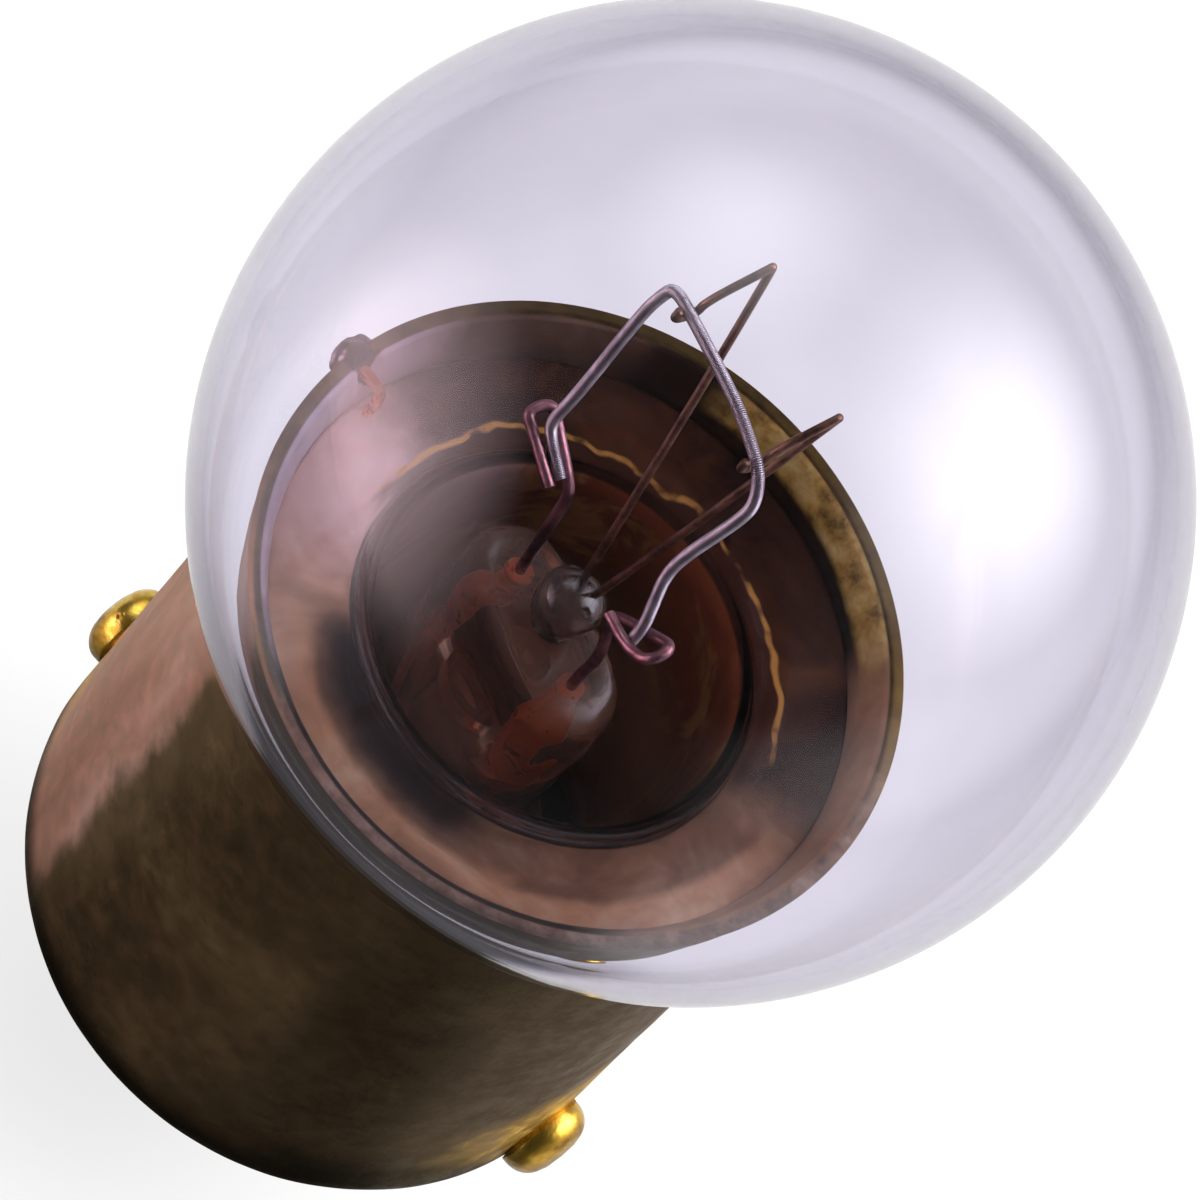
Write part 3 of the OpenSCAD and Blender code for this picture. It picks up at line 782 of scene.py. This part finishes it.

# %% [markdown]
# Inside the rim, where no hand reaches, the brass kept its yellow in mottled patches on one side.
# The next side is painted bronze as painted light, and across from them lies a pale pink haze, a painted
# reflection.
# The inside is seen through the globe, so it is painted lighter than it would be in the hand. A face is
# inside where it looks at the axis.

# %% Tarnish, painted light and painted reflection on the inside, gloss and scratches
yellow_side, lit_bronze_side, brown_side, reflected_haze_side = (70, 30, 12), (8, 34, 16), (150, 14, 16), (202, 24, 22)
inner_side = tarnish.span(tarnish.vector("DOT_PRODUCT", tarnish.normal, tarnish.outward()[0]), -0.05, -0.3)
inside = tarnish.tone(cloud, (40, 22, 9), (58, 34, 14), (88, 56, 24))
mottle = tarnish.tone(tarnish.noise(1100, 5, 0.7), (84, 56, 24), (220, 176, 84), (255, 226, 140))
yellow = tarnish.both(tarnish.facing(*yellow_side, 0.1), tarnish.height(rim_z - 0.95, rim_z - 0.6, 0.5))
inside = tarnish.mix(yellow, inside, mottle)
# Painted light: the bronze side. Painted reflection: the pale pink haze across from it.
for sector, shades in (
    (lit_bronze_side, ((172, 124, 88), (204, 156, 114), (228, 186, 146))),
    (brown_side, ((96, 68, 48), (128, 94, 70), (158, 122, 96))),
    (reflected_haze_side, ((226, 186, 190), (246, 214, 218), (255, 234, 238))),
):
    inside = tarnish.mix(tarnish.facing(*sector, 0.1), inside, tarnish.tone(cloud, *shades))
colour = tarnish.mix(inner_side, colour, inside)
fine = tarnish.ramp(grain, (0.3, grey(0.8)), (0.7, grey(1.1)))
tarnish.set(
    Base_Color=tarnish.mix(1.0, colour, fine, "MULTIPLY"), Specular_Tint=(0.7, 0.62, 0.5, 1),
    Metallic=tarnish.span(tarnish.math("MAXIMUM", inner_side, lip), 0.0, 0.9, 0.8, 0.1),
    Roughness=tarnish.span(grain, 0.3, 0.7, 0.36, 0.55),
)
scratch = tarnish.noise(260, 3, 0.7, 0.0, (6, 6, 0.7), (0.9, 0.5, 0.3))
small = tarnish.math("ADD", tarnish.both(grain, 0.25), tarnish.both(scratch, 0.15))
tarnish.bump(tarnish.math("ADD", tarnish.both(cloud, 0.5), small), 0.045)
stand_in(shell, tarnish, "cap_shell")

# %% [markdown]
# ## The two studs
# Each stud is a small rivet whose outer edge is rounded by wear. It is turned upright with a soft edge,
# laid along the X axis and knocked about a little. Its shank and head stay with it, hidden in the shell.

# %% Stud shape
stud_r, stud_reach, shank_r, head_r, head_in = 1.1, 8.4, 0.9, 1.4, 6.75
stud_edge, stud_crown = 0.62, 0.06


def stud_shape(side):
    def shape(p):
        worn = 0.05 * noise.noise(p * 0.9 + Vector((side * 5, 0, 0))) * ease(p.z, shell_r, shell_r + 0.3)
        return Vector((p.z * side, p.x * (1 + worn), p.y * (1 + worn)))
    return shape


stud_outline = (
    [(0, head_in), (head_r - 0.1, head_in), (head_r, head_in + 0.1), (head_r, head_in + 0.2)]
    + [(shank_r, head_in + 0.3), (shank_r, shell_r - 0.05), (stud_r, shell_r - 0.05), (stud_r, shell_r + 0.1)]
    + arc((stud_r - stud_edge, stud_reach - stud_edge - stud_crown), stud_edge, 0, 80, 8)
    + between((0.45, stud_reach - 0.03), (0, stud_reach), 3) + [(0, stud_reach)]
)
studs = {
    name: spin(name + "_stud", stud_outline, around=96, shape=stud_shape(side))
    for name, side in (("pin_right", 1), ("pin_left", -1))
}

# %% [markdown]
# The slots of a holder keep the studs bright. Their lower side is darkened as painted shade, and small pits
# hold dirt, so the pits are cut out of the bump and darkened with the same share.

# %% Stud finish
worn = Recipe("worn_brass")
blotch = worn.noise(900, 4, 0.65, 0.3)
colour = worn.tone(blotch, (120, 84, 30), (196, 156, 62), (240, 214, 110))
# Painted shade: the lower side of each stud is darkened.
lower_shade = worn.tone(worn.noise(1400, 3), (46, 32, 22), (70, 50, 34), (96, 72, 48))
colour = worn.mix(worn.both(worn.height(0.2, -0.75, 1.0, 1200), 0.92), colour, lower_shade)
pit = worn.span(worn.noise(1300, 2), 0.66, 0.72)
worn.set(
    Base_Color=worn.mix(pit, colour, linear(60, 42, 26)), Metallic=1.0,
    Roughness=worn.span(blotch, 0.3, 0.7, 0.4, 0.22),
)
worn.bump(worn.math("SUBTRACT", worn.both(blotch, 0.6), worn.both(pit, 0.4)), 0.05)
for name, stud in studs.items():
    stand_in(stud, worn, name)

# %% [markdown]
# ## Cement round the neck
# Hard brown cement fills the ring between neck and shell. It was spread by hand, so its top is uneven:
# it climbs in places and has sunk away from the glass on one side. The bore keeps to the glass.
# So the top has many rings of points, and only points near the top are moved.

# %% Cement shape
cement_top, cement_low, fit = rim_z - 1.3, neck_z + 0.3, 0.02
bore_r, ring_r = neck_r + fit, shell_r - sheet - fit


def cement_shape(p):
    if p.z < cement_top - 0.5:
        return p
    r, a = math.hypot(p.x, p.y), math.degrees(math.atan2(p.y, p.x)) % 360
    middle = ease(r, bore_r, bore_r + 0.3) * (1 - ease(r, ring_r - 0.25, ring_r))
    low_side = ease(a, 225, 250) * (1 - ease(a, 300, 325))
    sunk = 0.45 * low_side * ease(r, bore_r, bore_r + 0.2) * (1 - ease(r, 5.9, 6.5))
    wander = 0.16 * noise.noise(p * 0.8) + 0.07 * noise.noise(p * 2.4) + 0.03 * noise.noise(p * 5)
    lip = 0.08 * noise.noise(Vector((p.x, p.y, 3)) * 1.1) * (1 - ease(r, bore_r, bore_r + 0.3))
    return p + Vector((0, 0, middle * wander - sunk + lip - 0.05))


cement_ring = spin("cement_ring", (
    between((ring_r, cement_low), (ring_r, cement_top), 12)
    + between((ring_r, cement_top), (bore_r, cement_top), 24)
    + between((bore_r, cement_top), (bore_r, cement_low), 12) + [(bore_r, cement_low)]
), around=256, shape=cement_shape)

# %% [markdown]
# The top of the cement is dark brown. A pale pink haze is painted on one side as a reflection, bronze is
# painted along the near side as light, and its inner edge on the near side and the trough where it has sunk
# are darkened as painted shade. A thin, broken gilt line runs
# round the far side of the throat: it is a narrow band of a distance that noise has made wavy.

# %% Cement top
reflected_haze_side, lit_bronze_side, trough_side = (214, 28, 20), (292, 60, 32), (262, 24, 16)
near_side, right_side, far_side, line_side = (300, 56, 20), (338, 22, 16), (105, 80, 14), (112, 76, 14)
line_r = 5.45
cement = Recipe("brown_cement")
crumb = cement.noise(900, 3, 0.6)
patches = cement.noise(330, 4, 0.65, 0.5)

colour = cement.tone(patches, (52, 27, 12), (74, 41, 20), (110, 66, 34))
# Painted reflection: a pale pink haze on one side of the cement top.
reflected_haze = cement.tone(patches, (222, 172, 156), (244, 200, 186), (255, 226, 216))
colour = cement.mix(cement.facing(*reflected_haze_side, 0.2), colour, reflected_haze)
# Painted light: bronze along the near side.
bronze = cement.tone(patches, (176, 124, 82), (222, 166, 118), (250, 212, 162))
colour = cement.mix(cement.facing(*lit_bronze_side, 0.2), colour, bronze)
# Painted shade along the inner edge, on the near side and towards the right.
near_edge = cement.both(cement.facing(*near_side, 0.1), cement.radius(6.15, 5.75, 0.5))
right_edge = cement.both(cement.facing(*right_side, 0.1), cement.radius(6.55, 6.2, 0.4))
edge_shade_share = cement.both(cement.math("MAXIMUM", near_edge, right_edge), 0.65)
edge_shade = cement.tone(patches, (62, 38, 24), (84, 54, 34), (120, 80, 52))
colour = cement.mix(edge_shade_share, colour, edge_shade)
# Painted shade in the trough where the cement has sunk.
trough = cement.both(cement.facing(*trough_side, 0.1), cement.radius(6.2, 5.2, 0.5))
colour = cement.mix(trough, colour, linear(56, 35, 28))
wavy = cement.stray(cement.outward()[1], 1.6 * MM, 260, 3)
inner = cement.both(cement.within(wavy, 5.5, 5.35), cement.facing(*far_side))
colour = cement.mix(inner, colour, linear(78, 42, 22))
off_line = cement.math("ABSOLUTE", cement.math("SUBTRACT", wavy, line_r * MM))
broken = cement.span(crumb, 0.36, 0.56)
gilt = cement.both(cement.within(off_line, 0.11, 0.03), cement.facing(*line_side), broken)
colour = cement.mix(gilt, colour, linear(226, 164, 78))
print("gilt line at radius in mm:", line_r)

# %% [markdown]
# The bore shows through the neck. Little light gets down there, so its colour grows lighter with depth
# to keep the throat brown. It has golden smudges, and on one side a pale pink haze, a painted reflection.

# %% Cement bore
reflected_bore_haze_side = (192, 30, 24)
smudge = cement.both(cement.span(cement.noise(420, 4, 0.6, 0.8), 0.5, 0.64), 0.7)
deep = cement.mix(cement.height(11, 7), linear(170, 90, 48), linear(255, 190, 128))
bore = cement.mix(smudge, deep, linear(240, 176, 92))
# Painted reflection: a pale pink haze on one side of the bore.
reflected_bore_haze = cement.both(cement.facing(*reflected_bore_haze_side, 0.1), cement.height(7, 12), 0.9)
bore = cement.mix(reflected_bore_haze, bore, linear(255, 220, 208))
at_neck = cement.radius(bore_r + 0.08, bore_r + 0.02)
in_bore = cement.both(at_neck, cement.height(cement_top - 0.12, cement_top - 0.3))
cement.set(
    Base_Color=cement.mix(in_bore, colour, bore), Specular_IOR_Level=0.12,
    Roughness=cement.span(crumb, 0.3, 0.7, 0.45, 0.7),
)
cement.bump(crumb, 0.06)
stand_in(cement_ring, cement, "basing_cement")

# %% [markdown]
# ## Black glass and the contact
# Black glass was poured into the shell's end and carries the contact. Its outer face is smooth and a
# little rippled, and brown cement dust lies on its inner face. The plate is brass, the button is solder.
# These drawn pieces are fine enough, so they keep their meshes and only get a finish.

# %% End of the cap
black = Recipe("black_glass")
bottle_black = black.tone(black.noise(300, 4), (18, 15, 16), (27, 22, 22), (46, 36, 30))
brown_dust = black.tone(black.noise(700, 4), (120, 76, 50), (166, 112, 78), (206, 154, 116))
black.set(
    Base_Color=black.mix(black.height(-1.3, -1.0), bottle_black, brown_dust),
    Roughness=black.span(black.noise(700), 0.3, 0.7, 0.08, 0.28), IOR=1.52,
)
black.bump(black.noise(400, 3), 0.04)
dress(nodes["insulator"], black)

plate = Recipe("plate_brass")
plate_cloud = plate.noise(600, 4, 0.6, 0.3)
plate.set(
    Base_Color=plate.tone(plate_cloud, (104, 78, 38), (164, 130, 66), (206, 174, 100)), Metallic=1.0,
    Roughness=plate.span(plate_cloud, 0.3, 0.7, 0.3, 0.5),
)
plate.bump(plate.noise(1800, 3), 0.02)
dress(nodes["contact_plate"], plate)


def solder_metal(name, dark, mid, light):
    recipe = Recipe(name)
    skin = recipe.noise(700, 5, 0.65)
    recipe.set(
        Base_Color=recipe.tone(skin, dark, mid, light), Metallic=1.0,
        Roughness=recipe.span(recipe.noise(1200), 0.3, 0.7, 0.28, 0.55),
    )
    recipe.bump(skin, 0.06)
    return recipe


button = solder_metal("button_solder", (96, 90, 88), (132, 128, 128), (176, 174, 178))
dress(nodes["contact_solder"], button)

# %% [markdown]
# The lead that comes out through the cut in the rim is held by one dark drop of solder.
# It froze as it ran, so it is a ball that noise has pushed out of round.

# %% Rim solder
drop_at, drop_r = Vector((-shell_r - rim_flare + 0.02, 0, rim_z - notch_h / 2 - 0.05)), 0.52
drop_mesh = bmesh.new()
bmesh.ops.create_icosphere(drop_mesh, subdivisions=5, radius=1)
for vert in drop_mesh.verts:
    swell = 1 + 0.16 * noise.noise(vert.co * 1.6) + 0.05 * noise.noise(vert.co * 5)
    squeezed = Vector((vert.co.x * 0.85, vert.co.y * 1.15, vert.co.z * 0.95))
    vert.co = (drop_at + squeezed * drop_r * swell) * MM
drop = add_object("rim_drop", drop_mesh)
stand_in(drop, solder_metal("dark_solder", (78, 64, 70), (114, 98, 106), (158, 142, 152)), "rim_solder")

# %% [markdown]
# ## Floor and backdrop
# The bulb is shown on a plain pale floor in front of white. Clear glass shows all that is round it,
# so a studio shades what the glass would mirror and keeps white what is seen through it.
# Light Path tells these apart. The eye meets the surroundings straight or through glass, before any
# glossy bounce, and a mirror image comes after one. So three quarters of what the eye sees of the floor
# is plain white, and the last quarter is lit paper, which holds the bulb's shadow. In mirror images
# the floor is grey, darkest in front, and fades out in the distance.

# %% Floor
def sight(tree):
    """Share 1 where the eye meets the surroundings, straight or through glass, and 1 in mirror images."""
    rays = tree.node("ShaderNodeLightPath").outputs
    straight = tree.math("MAXIMUM", rays["Is Camera Ray"], rays["Is Transmission Ray"])
    unscattered = tree.math("LESS_THAN", rays["Diffuse Depth"], 0.5)
    direct = tree.math("LESS_THAN", rays["Glossy Depth"], 0.5)
    thin = tree.math("LESS_THAN", rays["Transmission Depth"], 5.5)
    eye = tree.both(straight, unscattered, direct, thin)
    return eye, tree.both(unscattered, tree.math("SUBTRACT", 1.0, direct))


floor_mesh = bmesh.new()
bmesh.ops.create_grid(floor_mesh, x_segments=8, y_segments=8, size=1.5)
floor = add_object("floor", floor_mesh)
floor.location.z = cad_box[0][2] - 0.00002
paper = Recipe("white_paper")
white = paper.ramp(paper.noise(40), (0.3, linear(244, 244, 244)), (0.7, linear(248, 248, 248)))
paper.set(Base_Color=white, Roughness=0.9)

finish = paper.shader.outputs[0]
eye, mirror = sight(paper)
backdrop = paper.node("ShaderNodeEmission", Strength=1.0)
dark = paper.node("ShaderNodeEmission", Strength=0.04)
gone = paper.node("ShaderNodeBsdfTransparent")
front_side, wide_front = (284, 32, 14), (284, 50, 12)
near_bulb = paper.both(paper.facing(*wide_front), paper.radius(28, 20))
front = paper.math("MAXIMUM", paper.facing(*front_side), near_bulb)
shade = paper.both(mirror, paper.math("ADD", 0.35, paper.both(front, 0.58)))
faded = paper.both(mirror, paper.radius(40, 160))
for share, other in ((shade, dark), (faded, gone), (paper.both(eye, 0.75), backdrop)):
    blend = paper.node("ShaderNodeMixShader", Fac=share)
    paper.put(blend.inputs[1], finish)
    paper.put(blend.inputs[2], other.outputs[0])
    finish = blend.outputs[0]
paper.put(paper.tree.nodes["Material Output"].inputs["Surface"], finish)
floor.data.materials.append(paper.material)
print("floor height in mm:", round(floor.location.z / MM, 2))

# %% [markdown]
# ## Light all round
# The light is painted on the sky, which gives soft light and soft mirror images with no lamp to place.
# Two soft boxes hang behind the bulb, a strong one to the right and a weaker one to the left. A third
# stands low at the front left and is slightly pink. Between them the sky is dim, and dimmer in mirror
# images, but behind the bulb a white band lies along the horizon in them.
# To the eye the sky is plain white.

# %% Soft boxes
world = bpy.data.worlds.new("studio")
bpy.context.scene.world = world
world.use_nodes = True
sky = Nodes(world.node_tree)
direction = sky.node("ShaderNodeTexCoord").outputs["Generated"]


def soft_box(towards, edge, strength, hardness=1.0):
    """A soft bright patch of sky, full in the middle and gone at edge degrees."""
    dot = sky.vector("DOT_PRODUCT", direction, Vector(towards).normalized())
    away = sky.math("ARCCOSINE", dot)
    near = sky.span(away, 0.0, math.radians(edge), 1.0, 0.0)
    return sky.both(sky.math("POWER", near, hardness), strength)


plain, pinkish = (1, 1, 1), (1.3, 0.96, 0.96)
boxes = {
    "behind right": ((0.54, 0.554, 0.634), 45, 10.0, 1.0, plain),
    "behind left": ((-0.545, 0.313, 0.778), 32, 4.2, 1.0, plain),
    "front left": ((-0.73, -0.67, -0.13), 43, 4.8, 0.8, pinkish),
}
eye, mirror = sight(sky)
level = sky.math("SUBTRACT", 0.16, sky.both(mirror, 0.1))
for towards, edge, strength, hardness, tint in boxes.values():
    light = sky.vector("MULTIPLY", tint, soft_box(towards, edge, strength, hardness))
    level = sky.vector("ADD", light, level)
print("soft boxes:", list(boxes))

# %% [markdown]
# A renderer sends little light through glass onto what stands behind it, because it can't aim at a lamp
# through a surface that bends light. So a fourth box counts only for rays that left such a piece
# and went out through glass. And where a ray has crossed many walls of glass, its mirror image
# of the sky is toned down, or the neck would shine more than the wires in front of it.

# %% Light behind glass, and the sky that is seen
fill = ((-0.4, -0.36, 0.84), 60, 6.0)
rays = sky.node("ShaderNodeLightPath").outputs
in_glass = sky.both(rays["Is Transmission Ray"], sky.math("GREATER_THAN", rays["Diffuse Depth"], 0.5))
level = sky.vector("ADD", level, sky.both(in_glass, soft_box(*fill)))
rise = sky.math("ABSOLUTE", sky.vector("DOT_PRODUCT", direction, (0, 0, 1)))
behind = sky.span(sky.vector("DOT_PRODUCT", direction, (0.5, 0.87, 0)), -0.5, 0.5)
horizon = sky.both(mirror, behind, sky.span(rise, 0.1, 0.35, 1.0, 0.0))
glint = sky.both(mirror, sky.math("GREATER_THAN", rays["Transmission Depth"], 4.5), 0.85)
shown = sky.both(sky.math("SUBTRACT", 1.0, eye), sky.math("SUBTRACT", 1.0, glint))
lit_sky = sky.vector("MULTIPLY", sky.vector("MAXIMUM", level, horizon), shown)
background = sky.tree.nodes["Background"]
background.inputs["Strength"].default_value = 1.0
sky.put(background.inputs["Color"], sky.vector("ADD", lit_sky, eye))
print("sky nodes:", len(sky.tree.nodes))

# %% [markdown]
# ## Camera
# The camera looks down from the front at a steep angle and is rolled, so the cap points down to the left.
# It stands far away with a long lens, which keeps the globe round.

# %% Camera
azimuth, elevation, roll = math.radians(9), math.radians(57), math.radians(43.1)
focal_px, frame_px, shown_px, distance = 10109.0, 1200, (690.4, 502.0), 220.0
centre_px = frame_px / 2
low_view = math.cos(elevation)
view = Vector((math.sin(azimuth) * low_view, -math.cos(azimuth) * low_view, math.sin(elevation)))
right = Vector((math.cos(azimuth), math.sin(azimuth), 0))
up = view.cross(right)
cam_x = right * math.cos(roll) + up * math.sin(roll)
cam_y = up * math.cos(roll) - right * math.sin(roll)
aside = (shown_px[0] - centre_px) / focal_px * distance
raised = -(shown_px[1] - centre_px) / focal_px * distance
place = Vector((0, 0, globe_z)) + view * distance - cam_x * aside - cam_y * raised
camera_data = bpy.data.cameras.new("camera")
camera_data.sensor_width = 36
camera_data.lens = focal_px / frame_px * camera_data.sensor_width
camera_data.clip_start = 0.01
camera_data.clip_end = 20
camera = bpy.data.objects.new("camera", camera_data)
bpy.context.scene.collection.objects.link(camera)
matrix = camera.matrix_world.copy()
for i in range(3):
    matrix[i][0], matrix[i][1], matrix[i][2], matrix[i][3] = cam_x[i], cam_y[i], view[i], place[i] * MM
camera.matrix_world = matrix
bpy.context.scene.camera = camera
bpy.context.scene.view_settings.view_transform = "Standard"
print("camera at", [round(x, 4) for x in place * MM])

# %% [markdown]
# ## Finish
# The dressed bulb has to stay in the box of the drawn one.
